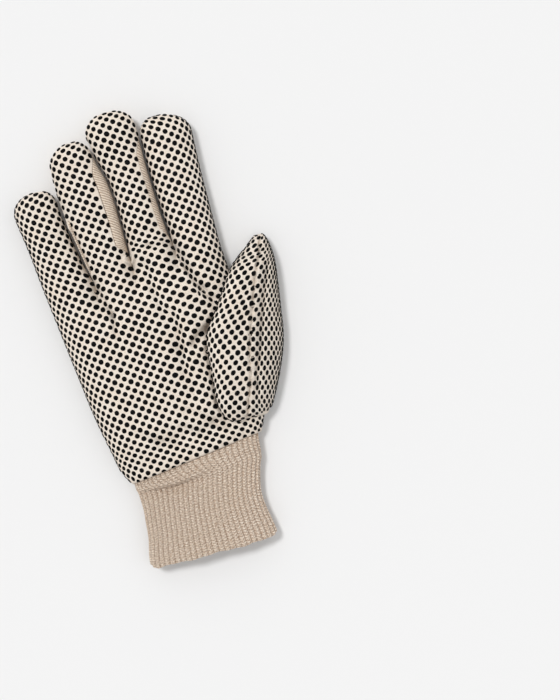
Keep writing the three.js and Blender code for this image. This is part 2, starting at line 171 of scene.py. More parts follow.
# Sharper creases of the palm side: two ends, half width on the left and the right of the way, and depth
CREASES = table(
    "x1 y1 x2 y2 left right deep",
    (14.6, 46.5, 18.7, 30.2, 2.2, 0.7, 3.2), (18.7, 30.2, 24, 17.7, 2.4, 0.7, 3.4),
    (24, 17.7, 29.5, 10, 2.4, 0.7, 3.2), (29.5, 10, 31, 4, 2, 1.4, 1),
    (28.4, 3, 21.8, -6, 3, 1.2, 1.6), (21.8, -6, 18.9, -16, 3, 1.2, 1.8),
    (18.9, -16, 17.4, -36, 3, 1.2, 2), (17.4, -36, 16.3, -48, 3, 1.2, 2),
    (16.3, -48, 19.3, -58.5, 3, 1.2, 1.8), (-35.2, 39, -33.3, 32, 0.9, 1.8, 1.8),
    (-33.3, 32, -27.8, 16.6, 0.7, 2, 3), (-27.8, 16.6, -28.5, 4, 0.7, 1.8, 2.3),
    (-2.9, 38, -2.5, 25, 1.2, 2.2, 1.0), (-2.5, 25, 0.4, 12, 1.2, 2.2, 0.8),
    (5.3, 9, 6.7, -3, 1.2, 2.4, 1.5), (6.7, -3, 5.4, -14, 1.2, 2.4, 1.6),
    (5.4, -14, 3.6, -28, 1.2, 2.4, 0.9), (-7, 52, 2, 49, 1.3, 1.6, 1.5),
    (2, 49, 13, 47.6, 1.3, 1.6, 1.7), (13, -10, 22, -5, 2.0, 3.4, 4.4),
    (22, -5, 27, -1, 1.6, 3.4, 4.8), (-34, -52.6, -21.5, -60.4, 1.4, 2.6, 1.2),
    (-21.5, -60.4, -5.7, -68.2, 1.4, 2.6, 1.4), (-1, -47, 12, -57, 1.4, 2.6, 2.3),
    (12, -57, 19, -61.5, 1.4, 2.6, 2.6), (-6, -56, 8, -65, 1.4, 2.4, 1.8),
    (-39.5, -59, -35.5, -73, 1.4, 1.8, 0.8),
)

# Where the cloth is gathered across the hand, in the same columns: the last is the share taken up
GATHERS = table(
    "x1 y1 x2 y2 left right deep",
    (16.5, 44, 23, 16, 2.2, 2.2, 1.2), (23, 16, 29, 8, 2.2, 2.2, 0.9),
    (-33, 32, -28.5, 8, 2, 2, 0.7), (-2.5, 38, 0.5, 12, 2.6, 2.6, 0.7),
    (7, 8, 5, -26, 2.6, 2.6, 1.0), (13, -8, 15, -44, 2.2, 2.2, 0.6),
)

# Where it is gathered along the hand: the strands, a place, a half length and the share taken up
GATHERS_ALONG = (((0, 1, 2, 3), -66, 8, 0.22), ((2,), 50, 3.5, 0.55))

# And at both edges of the hand: the half width and the share
EDGE_GATHERS = (8, 0.42)

# The plan grid that gathers are worked out on: its left and its wrist end, and columns a millimetre
FIELD_LEFT = -80
FIELD_START = -84
FIELD_COLUMNS = 2

# Up to here the flat cloth's lengthwise coordinate is the place along the glove
HAND_END = 36

THUMB = table(
    "along left right rise",
    (-60.7, 27, 37.5, 0), (-59.8, 23, 42.2, 4), (-57.8, 19.8, 45.4, 6.4), (-53.2, 17.6, 48.4, 8.8),
    (-46.3, 16.6, 52, 10.6), (-37.7, 17.4, 56.2, 11.8), (-26.2, 18.4, 60.8, 12.4), (-14.7, 19.4, 63.8, 12.6),
    (-6, 22.4, 65, 12.6), (2.6, 28.6, 66.4, 12.5), (11.2, 34.6, 67.6, 12.4), (22.7, 41.6, 69, 11.8),
    (29.6, 48, 68.9, 10.4), (35.9, 56.2, 67.8, 7.5), (38.8, 59.8, 66.8, 4.6), (40, 61, 65.6, 0),
)
THUMB_EDGE_RISE = 3
THUMB_OUTER_EDGE = 7
THUMB_CLEARANCE = 0.1
THUMB_SIDE_CLEARANCE = 1.2
PALM_DRAPE = 7

# The puckered seam that runs up the thumb
THUMB_SEAM = table(
    "along x",
    (-71, 25.8), (-67.2, 27.1), (-60.8, 30.3), (-50, 34.4), (-38.2, 38.7), (-26.6, 41.3),
    (-13.7, 45.2), (0, 50), (14.3, 55), (24, 59.3), (32.3, 62.6), (39.4, 64),
)

# A sharp fold beside it
THUMB_FOLD = table(
    "along x",
    (-52, 40), (-34.7, 44.2), (-28.8, 47), (-7.4, 54.2), (10, 60.4), (26, 66.4),
)

CUFF = table(
    "along left right height",
    (-131, -45.7, 30.7, 17.6), (-126, -45.4, 30.2, 17), (-121, -44.6, 29.4, 16.4),
    (-112.4, -42.7, 27.8, 15.4), (-103.8, -42, 27.3, 14.8), (-96.3, -41.4, 28.6, 14.6),
    (-88, -41.8, 31, 15.2), (-84, -42.2, 32.6, 16.4), (-70, -42.6, 34.2, 16.4),
)
CUFF_HEM = -129.9
HEM_CORNER_WIDTH = 0.14
HEM_CORNER_RISE = 3.6
CUFF_TOP = (-42.4, 34)
CUFF_RIBS = 52

# Mesh steps of the cloth
PALM_ROWS = 118
FINGER_ROWS = 64
TIP_ROWS = 18
FRONT_COLUMNS = 46
BACK_COLUMNS = 26
THUMB_ROWS = 110
THUMB_COLUMNS = 160

# How far the back panels' sides stay away from the turn of their section, as an angle
BACK_TURN = 0.024

# The cloth map: millimetres in one unit of it, and the length that the knit's map gives once round
MAP_UNIT = 100.0
ONCE_ROUND = 100

# Pitch of the canvas threads, of the twill's lines and threads, and of the knit's stitches
CANVAS_THREAD = 0.66
TWILL_PITCH = 1.5
TWILL_THREAD = 0.45
KNIT_STITCH = 1.35

# Dots: their rings as shares of radius and of height, the shares of their width that they may be
# squeezed and stretched to, and how low those under the glove may reach
DOT_SIDES = 12
DOT_RINGS = ((1.0, -0.12), (0.985, 0.42), (0.82, 0.82), (0.42, 0.98))
DOT_SQUEEZE = 0.3
DOT_STRETCH = 3
DOT_LOWEST = -0.12

# The shift of the hand's lattice, and the least way between dots where two lattices meet
HAND_SHIFT = (0.6, 1.1)
HAND_SPACING = 2.75
THUMB_SPACING = 2.2

# Stage, in metres and degrees; each light's name, rise, direction, softness and power
FLOOR_REACH = 3.0
FLOOR_DROP = -0.0002
ROOM_LIGHT = 0.66
LIGHTS = (("key", 64, 128, 13, 1.48), ("fill", 40, -30, 60, 0.12))
CAMERA_PLACE = (0.0587, -0.0278, 0.9604)
CAMERA_TURN = -15
CAMERA_LENS = 85.0


def clamp(t):
    """t kept between 0 and 1."""
    return np.clip(t, 0.0, 1.0)


def smooth(t):
    """An ease from 0 to 1 with level ends."""
    c = clamp(t)
    return c * c * (3 - 2 * c)


def mix(a, b, t):
    """Part t of the way from a to b."""
    return a + (b - a) * t


def bell(away, half, height=1.0):
    """A bell across a line: its height, times e to the minus square of away over half."""
    return height * np.exp(-((away / half) ** 2))


def between(rows, name, along):
    """A table's column at places along it: a smooth curve through the rows, level beyond the ends."""
    y = rows["along"]
    v = rows[name]
    at = np.clip(along, y[0], y[-1])
    i = np.clip(np.searchsorted(y, at, side="left") - 1, 0, len(y) - 2)
    before = np.maximum(np.arange(len(y)) - 1, 0)
    after = np.minimum(np.arange(len(y)) + 1, len(y) - 1)
    slope = (v[after] - v[before]) / (y[after] - y[before])
    span = y[i + 1] - y[i]
    t = (at - y[i]) / span
    u = 1 - t
    ends = v[i] * u * u * (1 + 2 * t) + v[i + 1] * t * t * (3 - 2 * t)
    return ends + span * (slope[i] * t * u * u - slope[i + 1] * t * t * u)


def rounding(across, squareness, power=0.5):
    """1 in a section's middle and 0 at its edges: one minus |across| to a power, to another power."""
    unfilled = 1 - np.abs(across) ** squareness
    return np.where(unfilled > 1e-6, np.maximum(unfilled, 1e-6) ** power, 0.0)


def underside(rounded, flatness):
    """Height of a section's underside: on the table in its middle, and up at its edges."""
    return SIDE_HEIGHT * (1 - np.minimum(1, flatness * rounded))


def wrist_seam(x):
    """Where the wrist seam lies along the glove at x."""
    share = (x - WRIST_LINES_FRONT[0]) / (WRIST_LINES_FRONT[4] - WRIST_LINES_FRONT[0])
    return mix(WRIST_SEAM[0], WRIST_SEAM[1], share)


def hand_edges(along):
    """Left and right edge of the whole hand."""
    return [
        np.where(along > end, between(FINGERS[k], side, along), between(PALM, side, along))
        for k, side, end in OUTER_EDGES
    ]


def across_hand(x, along, grown=0.0):
    """How far x lies from the hand's middle: -1 and 1 at its edges, which may be moved out."""
    left, right = hand_edges(along)
    return (x - (left + right) / 2) / ((right - left) / 2 + grown)


def valley_x(k, along):
    """Line k between the fingers on the palm side; 0 and 4 are the hand's outer edges."""
    if k in (0, 4):
        return hand_edges(along)[k // 4]
    wrist_x = WRIST_LINES_FRONT[k]
    t = (along - CROTCH_ALONG[k]) / (wrist_seam(wrist_x) - CROTCH_ALONG[k])
    return mix(CROTCH_X[k], wrist_x, t)


def back_seam_x(k, along):
    """Seam k of the back; 0 and 4 are the hand's outer edges."""
    if k in (0, 4):
        return hand_edges(along)[k // 4]
    return between(BACK_SEAMS, ("little", "centre", "index")[k - 1], along)


def lines_depth(lines, x, along):
    """How far lines of folds lower a surface: for each, its depth times a bell curve across it."""
    total = 0.0
    sides = ("left", "right") if "left" in lines else ("wide", "wide")
    names = ("x1", "y1", "x2", "y2", *sides, "deep")
    for x1, y1, x2, y2, left, right, deep in zip(*(lines[n] for n in names)):
        dx = x2 - x1
        dy = y2 - y1
        t = clamp(((x - x1) * dx + (along - y1) * dy) / (dx * dx + dy * dy))
        away = np.hypot(x - x1 - t * dx, along - y1 - t * dy)
        on_left = dx * (along - y1) - dy * (x - x1) > 0
        total = total + bell(away, np.where(on_left, left, right), deep)
    return total


def ripples(x, along):
    """Soft unevenness of limp cotton: crossed long waves that bend each other's crests."""
    bend = 2.1 * np.sin(along / 23 + 0.6) + 1.3 * np.sin(x / 17 + along / 41)
    slow = np.sin(x / 7.1 + bend) * np.sin(along / 10.3 + 0.5 * bend)
    cross = np.sin(x / 4.3 - along / 9.1 + 1.7 * bend)
    fine = np.sin(x / 2.6 + along / 3.4 + bend) * np.sin(along / 5.2 - x / 6.3)
    return 0.42 * slow + 0.2 * cross + 0.07 * fine


def palm_top(x, along, grown=0.0):
    """Height of the palm side: a flattened arch across the hand."""
    arch = rounding(across_hand(x, along, grown), PALM_SQUARENESS)
    return mix(SIDE_HEIGHT, between(PALM, "crown", along), arch)


def palm_under(x, along):
    """Height of the back of the hand: flat on the table, rounded up to the sides."""
    return underside(rounding(across_hand(x, along), BACK_SQUARENESS), PALM_FLATNESS)


def parting(k, along, length):
    """0 in the hand and 1 where the fingers beside line k have parted."""
    return smooth((along - CROTCH_ALONG[k] + length) / length)


def hand_relief(x, along, in_hand, fade):
    """How far folds, creases, the thumb's join and the wrist seam lower the cloth, less its gathers.

    in_hand and fade are 1 in the middle of the hand and 0 at its edges; fade is 0 between the
    fingers too. The gathers are waves across the hand, that die out above the wrist seam.
    """
    from_wrist = along - wrist_seam(x)
    waves = np.sin(x * 1.35 + 1.1 * np.sin(x * 0.37))
    gathers = WRIST_GATHERS[1] * waves * bell(from_wrist - 1, WRIST_GATHERS[0]) * fade
    join = bell(x - between(THUMB_SEAM, "x", along), *THUMB_JOIN) * smooth((-56 - along) / 3)
    folds = lines_depth(FOLDS, x, along) * fade + lines_depth(CREASES, x, along) * in_hand + join * fade
    return folds, bell(from_wrist, *WRIST_SEAM_DIP) - gathers


def crotch_rim(x, along):
    """The stitched rim at the crotch of the ring and middle fingers: a bell across a circle."""
    away = np.hypot(x - CROTCH_X[2], along - CROTCH_ALONG[2] + 0.6)
    return bell(away - CROTCH_RIM_RADIUS, *CROTCH_RIM) * smooth((CROTCH_ALONG[2] + 3.2 - along) / 3)


def strand_point(k, angle, along, back=False, trim=(0.0, 0.0), pressed=False):
    """A point of finger k and its share of the hand.

    The section is closed: angle pi is its left edge, pi/2 its top, 0 its right edge, and pi to 2 pi
    its underside. Towards the hand its top blends into the arch of the palm. Pressed, it has no
    folds, creases or ripples, and its valleys end nearer to the fingertips.
    """
    rows = FINGERS[k]
    edge_x = back_seam_x if back else valley_x
    left, right = (
        np.where(along > CROTCH_ALONG[n], between(rows, side, along), edge_x(n, along))
        for n, side in ((k, "left"), (k + 1, "right"))
    )
    left = left + trim[0]
    right = right - trim[1]
    tip_end = FINGER_TIPS["along"][k]
    tip_length = FINGER_TIPS["length"][k]
    to_tip = clamp((along - tip_end + tip_length) / tip_length)
    tip_width = np.sqrt(1 - TIP_NARROWING * to_tip**TIP_WIDTH_POWER)
    tip_height = np.sqrt(np.maximum(0, 1 - to_tip**TIP_HEIGHT_POWER))
    middle = mix((left + right) / 2, FINGER_TIPS["x"][k], to_tip * to_tip)
    across = np.cos(angle)
    x = middle + (right - left) / 2 * tip_width * across
    share = (1 + across) / 2
    w_left, w_right = (parting(n, along, BACK_VALLEY_LENGTH) for n in (k, k + 1))
    flat = np.minimum(1, FINGER_FLATNESS * rounding(across, FINGER_SQUARENESS))
    under = mix(palm_under(x, along), SIDE_HEIGHT * (1 - tip_height * flat), mix(w_left, w_right, share))
    parted = along - PRESSED_SHIFT if pressed else along
    w_left, w_right = (parting(n, parted, PALM_VALLEY_LENGTH) for n in (k, k + 1))
    w = mix(w_left, w_right, share)
    steep_left, steep_right = (
        0.5 if n in (0, 4) else mix(1, 0.5, smooth((side - 0.6) / 0.4))
        for n, side in ((k, w_left), (k + 1, w_right))
    )
    rounded = rounding(across, FINGER_SQUARENESS, mix(steep_left, steep_right, share))
    finger_top = SIDE_HEIGHT + (between(rows, "height", along) - SIDE_HEIGHT) * tip_height * rounded
    top = mix(palm_top(x, along), finger_top, w)
    if not pressed:
        in_hand = rounding(across_hand(x, along), BACK_SQUARENESS, 1)
        fade = in_hand * mix(1, rounded, w)
        folds, seam = hand_relief(x, along, in_hand, fade)
        top = top - folds + ripples(x, along) * (fade * (1 - 0.5 * w) * tip_height) - seam
    top = top + crotch_rim(x, along)
    if k == 1:
        from_edge = (1 + across) * (right - left) / 2
        top = top + bell(from_edge, *RING_LIP) * smooth((along - 38) / 8) * smooth((82 - along) / 10)
    below = (angle > PI) & (angle <= 2 * PI) if back else np.zeros(np.shape(x), bool)
    rim = back & ((np.abs(angle - PI) < 1e-9) | (np.abs(angle - 2 * PI) < 1e-9))
    return np.stack([x, along + 0 * x, np.where(below | rim, under, top)], -1)


def plain_right(k, along):
    """The angle at which finger k's dotted front ends and its plain back begins, at its right side."""
    parted = smooth((along - CROTCH_ALONG[k + 1]) / FINGER_TIPS["opens"][k])
    closing = smooth((FINGER_TIPS["plain_end"][k] - along) / 20)
    return np.radians(FINGER_TIPS["plain_right"][k]) * parted * closing


def plain_left(k, along):
    """How far finger k's plain back turns up at its left side, as an angle."""
    parted = smooth((along - CROTCH_ALONG[k] + 2) / 8)
    closing = smooth((80 - along) / 14)
    return np.radians(FINGER_TIPS["plain_left"][k]) * parted * closing


def row_along(k, i, share, back):
    """Where grid row i lies along strand k: curved rows that pass through both of its crotches."""
    crotch = mix(CROTCH_ALONG[k], CROTCH_ALONG[k + 1], share)
    lines = WRIST_LINES_BACK if back else WRIST_LINES_FRONT
    seam = wrist_seam(mix(lines[k], lines[k + 1], share)) - 0.2
    in_palm = mix(seam, crotch, 1 - (1 - clamp(i / PALM_ROWS)) ** 1.25)
    tip_start = FINGER_TIPS["along"][k] - FINGER_TIPS["length"][k]
    in_finger = mix(crotch, tip_start, clamp((i - PALM_ROWS) / FINGER_ROWS))
    q = np.sin(clamp((i - PALM_ROWS - FINGER_ROWS) / TIP_ROWS) * PI / 2)
    in_tip = tip_start + FINGER_TIPS["length"][k] * q
    return np.where(i <= PALM_ROWS, in_palm, np.where(i <= PALM_ROWS + FINGER_ROWS, in_finger, in_tip))


def strand_grid(k, back, trim=(0.0, 0.0), turn=0.0):
    """The grid of strand k's front, or of its back from the left side under to the right side."""
    columns = BACK_COLUMNS if back and not trim[0] else FRONT_COLUMNS
    rows = PALM_ROWS + FINGER_ROWS + TIP_ROWS
    i, j = np.meshgrid(np.arange(rows + 1.0), np.arange(columns + 1.0), indexing="ij")
    s = j / columns
    along = row_along(k, i, (1 + np.cos(PI * (1 - s))) / 2, back)
    left = PI - plain_left(k, along)
    right = plain_right(k, along)
    if back:
        angle = mix(left + turn, 2 * PI + right * 0.98 - turn, s)
    else:
        angle = mix(left, right, s)
    return strand_point(k, angle, along, back, trim)


def grid_faces(shape, start=0, turned=False):
    """Quads of a grid of rows and columns, as vertex numbers."""
    ids = np.arange(shape[0] * shape[1]).reshape(shape) + start
    quads = np.stack([ids[:-1, :-1], ids[:-1, 1:], ids[1:, 1:], ids[1:, :-1]], -1).reshape(-1, 4)
    return quads[:, ::-1] if turned else quads


def gather_field():
    """Shares of cloth taken up across the hand on a plan grid, less their own mean nearby.

    The mean is a bell 10 mm wide. With it taken off, a gather draws dots together at its line and
    leaves the dots farther off where they were.
    """
    x = np.arange(FIELD_LEFT, 80.5, 1 / FIELD_COLUMNS)
    y = np.arange(float(FIELD_START), 60)
    share = lines_depth(GATHERS, x[None, :], y[:, None])
    near = bell(x[:, None] - x[None, :], 10)
    return share - share @ (near / near.sum(0))


GATHER_FIELD = gather_field()


def gathered(x, along):
    """How much more cloth than surface there is across the hand: in its gathers and at its edges."""
    left, right = hand_edges(along)
    half, much = EDGE_GATHERS
    edge = bell(x - left, half) + bell(right - x, half)
    column = np.clip((x - FIELD_LEFT) * FIELD_COLUMNS, 0, GATHER_FIELD.shape[1] - 1.001)
    row = np.clip(along - FIELD_START + 0 * x, 0, GATHER_FIELD.shape[0] - 1.001)
    c = column.astype(int)
    r = row.astype(int)
    lower, upper = (mix(GATHER_FIELD[n, c], GATHER_FIELD[n, c + 1], column - c) for n in (r, r + 1))
    return mix(lower, upper, row - r) + much * edge


def arc_lengths(points, axis, more=None):
    """Running length of a grid's lines along one axis, in the grid's own shape, more where gathered."""
    steps = np.linalg.norm(np.diff(points, axis=axis), axis=-1)
    if more is not None:
        steps = steps * (1 + np.take(more, range(steps.shape[axis]), axis=axis))
    first = np.zeros_like(np.take(steps, [0], axis=axis))
    return np.concatenate([first, np.cumsum(steps, axis=axis)], axis=axis)


def palm_centres(steps=96):
    """Where each strand's middle lies across the flat cloth, from line 2, at places along the glove."""
    y = np.linspace(-82, HAND_END, 119)
    angle = PI * (1 - np.linspace(0, 1, steps + 1))[None, :]
    along = np.broadcast_to(y[:, None], (len(y), steps + 1))
    strands = [strand_point(k, angle, along, pressed=True)[:, (1 if k else 0) :] for k in range(4)]
    points = np.concatenate(strands, 1)
    arc = arc_lengths(points, 1, gathered(points[..., 0], y[:, None]))
    places = {k: arc[:, k * steps + steps // 2] - arc[:, 2 * steps] for k in range(4)}
    places["along"] = y
    return places


CENTRES = palm_centres()


def new_piece(name, points, faces, material):
    """A smooth piece from points in millimetres, placed by its mesh and riding on the root body."""
    mesh = bpy.data.meshes.new(name)
    mesh.from_pydata((points * MM).tolist(), [], faces)
    mesh.polygons.foreach_set("use_smooth", np.ones(len(mesh.polygons), bool))
    mesh.materials.append(material)
    piece = bpy.data.objects.new(name, mesh)
    bpy.context.scene.collection.objects.link(piece)
    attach(piece, "root")
    return piece


def cloth_object(name, grids, uvs, material, wall):
    """A cloth piece from grids of points, with a map of the flat cloth called cloth."""
    points = np.concatenate([g.reshape(-1, 3) for g, _ in grids])
    starts = np.cumsum([0] + [g.shape[0] * g.shape[1] for g, _ in grids])
    quads = [grid_faces(g.shape[:2], start, turned) for (g, turned), start in zip(grids, starts)]
    faces = np.concatenate(quads)
    flat = np.concatenate([u.reshape(-1, 2) for u in uvs])
    piece = new_piece(name, points, faces.tolist(), material)
    layer = piece.data.uv_layers.new(name="cloth")
    layer.data.foreach_set("uv", flat[faces.reshape(-1)].astype(np.float32).reshape(-1) / MAP_UNIT)
    weld = piece.modifiers.new("Sewn edges", "WELD")
    weld.merge_threshold = SEW_REACH * MM
    if wall:
        shell = piece.modifiers.new("Cloth wall", "SOLIDIFY")
        shell.thickness = wall * MM
        shell.offset = -1
        shell.use_even_offset = False
    return piece


def operator(operation, reflected=False):
    """A method that stands for one of Python's operators and adds its Math node."""

    def method(self, other):
        return self.math(operation, *((other, self) if reflected else (self, other)))

    return method


class Wire:
    """A socket of a node tree, for use in sums and products as a number would be."""

    def __init__(self, shader, socket):
        self.shader = shader
        self.socket = socket

    def math(self, operation, *values):
        """A Math node with this operation on values and sockets."""
        node = self.shader.tree.nodes.new("ShaderNodeMath")
        node.operation = operation
        for socket, value in zip(node.inputs, values):
            self.shader.feed(socket, value)
        return Wire(self.shader, node.outputs[0])

    __add__ = __radd__ = operator("ADD")
    __mul__ = __rmul__ = operator("MULTIPLY")
    __sub__ = operator("SUBTRACT")
    __rsub__ = operator("SUBTRACT", reflected=True)
    __truediv__ = operator("DIVIDE")
    __pow__ = operator("POWER")

    def sin(self):
        """Its sine, for an angle in radians."""
        return self.math("SINE", self)

    def waves(self, pitch, shift=0.0):
        """Waves from 0 to 1 along it, one every pitch, moved on by an angle."""
        return (self * (2 * PI / pitch) + shift).sin() * 0.5 + 0.5

    def abs(self):
        """Its size without its sign."""
        return self.math("ABSOLUTE", self)

    def fract(self):
        """Its part after the whole number."""
        return self.math("FRACT", self)

    def over(self, edge, soft=0.1):
        """0 below the edge and 1 above it, with a soft step."""
        out = self.shader.node(
            "ShaderNodeMapRange",
            {"interpolation_type": "SMOOTHSTEP"},
            Value=self,
            **{"From Min": edge - soft, "From Max": edge + soft},
        )
        return out["Result"]


class Shader:
    """A material's node tree with its Principled shader."""

    def __init__(self, name, **uniform):
        self.material = bpy.data.materials.new(name)
        self.material.use_nodes = True
        self.tree = self.material.node_tree
        self.surface = self.tree.nodes["Principled BSDF"]
        for key, value in uniform.items():
            self.surface.inputs[key.replace("_", " ")].default_value = value

    def feed(self, socket, value):
        """Links a Wire to a socket, or sets its value."""
        if isinstance(value, Wire):
            self.tree.links.new(value.socket, socket)
        else:
            socket.default_value = value

    def node(self, kind, settings=None, **values):
        """Any node: its settings first, then its inputs by name. Gives its outputs by name."""
        node = self.tree.nodes.new(kind)
        for key, value in (settings or {}).items():
            setattr(node, key, value)
        for key, value in values.items():
            self.feed(node.inputs[key], value)
        return {o.name: Wire(self, o) for o in node.outputs if o.enabled}

    def blend(self, share, first, second):
        """A colour part of the way from the first to the second."""
        node = self.tree.nodes.new("ShaderNodeMix")
        node.data_type = "RGBA"
        self.feed(node.inputs[0], share)
        for socket, value in ((node.inputs[6], first), (node.inputs[7], second)):
            self.feed(socket, value if isinstance(value, Wire) else (*value, 1.0))
        return Wire(self, node.outputs[2])

    def scaled(self, vector, scale):
        """A vector times three numbers."""
        out = self.node("ShaderNodeVectorMath", {"operation": "MULTIPLY"})
        node = out["Vector"].socket.node
        self.feed(node.inputs[0], vector)
        self.feed(node.inputs[1], scale)
        return out["Vector"]

    def cloth(self):
        """Millimetres across and along the flat cloth, and the vector of both."""
        uv = self.node("ShaderNodeUVMap", {"uv_map": "cloth"})["UV"]
        place = self.scaled(uv, (MAP_UNIT, MAP_UNIT, MAP_UNIT))
        apart = self.node("ShaderNodeSeparateXYZ", Vector=place)
        return apart["X"], apart["Y"], place

    def noise(self, place, scale, detail=3.0, roughness=0.5):
        """Soft noise from 0 to 1."""
        out = self.node("ShaderNodeTexNoise", Vector=place, Scale=scale, Detail=detail, Roughness=roughness)
        return out["Fac"] if "Fac" in out else out["Factor"]

    def finish(self, colour, height, distance, strength=1.0, roughness=None):
        """Feeds the shader its colour, its relief and its roughness."""
        self.feed(self.surface.inputs["Base Color"], colour)
        if roughness is not None:
            self.feed(self.surface.inputs["Roughness"], roughness)
        bump = self.node("ShaderNodeBump", Height=height, Strength=strength, Distance=distance)
        self.feed(self.surface.inputs["Normal"], bump["Normal"])
        return self.material


def srgb(red, green, blue):
    """A display colour of 0 to 255 as linear light."""
    c = np.array([red, green, blue]) / 255
    return tuple(float(v) for v in np.where(c <= 0.04045, c / 12.92, ((c + 0.055) / 1.055) ** 2.4))


def canvas_material(name):
    """Cream cotton canvas: a close plain weave with slubs, brown flecks, a soft nap, a tone that varies at
    random, and painted shade in the hollows of the weave.
    """
    shader = Shader(name, Roughness=0.95, Sheen_Weight=0.1, Sheen_Roughness=0.5)
    across, along, place = shader.cloth()
    turn = 2 * PI / CANVAS_THREAD
    wobble = shader.noise(place, 0.9, 2.0) * 2.2
    weave = ((across * turn + wobble).sin() * (along * turn - wobble).sin() + 1.0) * 0.5
    slubs = shader.noise(shader.scaled(place, (0.35, 2.4, 1.0)), 1.4, 4.0, 0.6)
    warps = shader.noise(shader.scaled(place, (2.6, 0.3, 1.0)), 1.2, 4.0, 0.6)
    blotches = shader.noise(place, 0.09, 3.0)
    fibres = shader.noise(place, 2.6, 4.0, 0.65)
    light = shader.blend(slubs.over(0.5, 0.2), srgb(240, 229, 213), srgb(255, 251, 243))
    crossed = shader.blend(warps.over(0.58, 0.12) * 0.4, light, srgb(222, 198, 176))
    shade = shader.blend(blotches.over(0.5, 0.2) * 0.25, crossed, srgb(236, 217, 196))
    # Painted shade: the colour darkens towards brown where the weave lies low, in the hollows between the
    # threads.
    weave_hollow_shade = shader.blend((1.0 - weave) * 0.26, shade, srgb(193, 163, 138))
    colour = shader.blend(fibres.over(0.59, 0.07) * 0.52, weave_hollow_shade, srgb(186, 147, 121))
    height = weave * 0.5 + slubs * 0.5 + fibres * 0.6
    return shader.finish(colour, height, 0.00025, 0.85)


def twill_material():
    """Plain cotton twill: fine raised diagonals with painted shade darkening the grooves between them, with
    flecks and slubs.
    """
    shader = Shader("plain_twill", Roughness=0.92, Sheen_Weight=0.1, Sheen_Roughness=0.5)
    across, along, place = shader.cloth()
    wobble = shader.noise(place, 0.6, 3.0) * 4.0
    diagonal = (along * 0.9 - across * 0.44).waves(TWILL_PITCH, wobble)
    thread = along.waves(TWILL_THREAD)
    slubs = shader.noise(shader.scaled(place, (2.4, 0.25, 1.0)), 1.1, 4.0, 0.6)
    flecks = shader.noise(shader.scaled(place, (1.0, 0.45, 1.0)), 3.2, 4.0, 0.7)
    blotches = shader.noise(place, 0.07, 3.0)
    base = shader.blend(slubs.over(0.5, 0.2), srgb(234, 214, 192), srgb(253, 240, 222))
    worn = shader.blend(blotches.over(0.52, 0.2) * 0.3, base, srgb(240, 226, 207))
    # Painted shade: the grooves between the raised diagonals are darkened towards brown.
    lines = shader.blend((1.0 - diagonal) ** 1.6 * 0.74, worn, srgb(142, 110, 86))
    colour = shader.blend(flecks.over(0.63, 0.06) * 0.4, lines, srgb(160, 132, 108))
    height = diagonal + thread * 0.25 + slubs * 0.5
    return shader.finish(colour, height, 0.00032, 0.9)


def knit_material():
    """Heathered rib knit: columns of V stitches, cream and brown yarn mixed, with painted shade in the
    grooves between the ribs and in the hollows between the stitches.
    """
    shader = Shader("wrist_knit", Roughness=0.97, Sheen_Weight=0.12, Sheen_Roughness=0.5)
    across, along, place = shader.cloth()
    column = (across * CUFF_RIBS / ONCE_ROUND).fract()
    off_middle = (column - 0.5).abs() * 2.0
    stitch = (along / KNIT_STITCH + off_middle * 0.55).waves(1.0)
    yarn = shader.noise(shader.scaled(place, (0.7, 0.9, 1.0)), 1.6, 4.0, 0.65)
    heather = shader.noise(shader.scaled(place, (1.0, 0.7, 1.0)), 2.4, 3.0, 0.7)
    drift = shader.noise(place, 0.06, 2.0)
    base = shader.blend(yarn.over(0.5, 0.14), srgb(206, 181, 158), srgb(254, 241, 224))
    fleck = shader.blend(heather.over(0.57, 0.05) * 0.8, base, srgb(142, 108, 84))
    pale = shader.blend((1.0 - heather).over(0.62, 0.07) * 0.6, fleck, srgb(255, 248, 236))
    toned = shader.blend(drift.over(0.5, 0.2) * 0.2, pale, srgb(214, 193, 171))
    # Painted shade: the grooves between the ribs are darkened towards brown.
    rib_groove_shade = shader.blend(off_middle.over(0.84, 0.2) * 0.62, toned, srgb(132, 103, 82))
    # Painted shade: the hollows between the stitches, where the stitch wave is low, are darkened towards
    # brown.
    colour = shader.blend((1.0 - stitch) ** 2.0 * 0.4, rib_groove_shade, srgb(134, 106, 84))
    height = stitch + yarn * 0.5
    return shader.finish(colour, height, 0.0005, 1.0)


def dot_material():
    """Black soft vinyl with a dull gloss and a slightly uneven skin."""
    shader = Shader("dot_vinyl", **{"Specular IOR Level": 0.05})
    place = shader.node("ShaderNodeTexCoord")["Object"]
    grain = shader.noise(place, 1800.0, 3.0)
    patches = shader.noise(place, 160.0, 2.0)
    colour = shader.blend(patches, srgb(3, 4, 5), srgb(9, 10, 12))
    return shader.finish(colour, grain, 0.00005, 0.5, roughness=patches * 0.25 + 0.38)


def floor_material():
    """Plain pale paper."""
    shader = Shader("pale_floor", Roughness=0.95)
    place = shader.node("ShaderNodeTexCoord")["Object"]
    colour = shader.blend(shader.noise(place, 3.0), srgb(233, 233, 233), srgb(234, 234, 234))
    return shader.finish(colour, shader.noise(place, 900.0), 0.00002, 0.2)


def strand_uv(k, grid):
    """Flat-cloth coordinates of a strand's grid: arc length from its middle line, and along it."""
    arc = arc_lengths(grid, 1)
    middle = grid.shape[1] // 2
    y = grid[:, middle, 1]
    across = arc - arc[:, middle : middle + 1] + np.interp(y, CENTRES["along"], CENTRES[k])[:, None]
    along = grid[..., 1]
    return np.stack([across, along], -1)


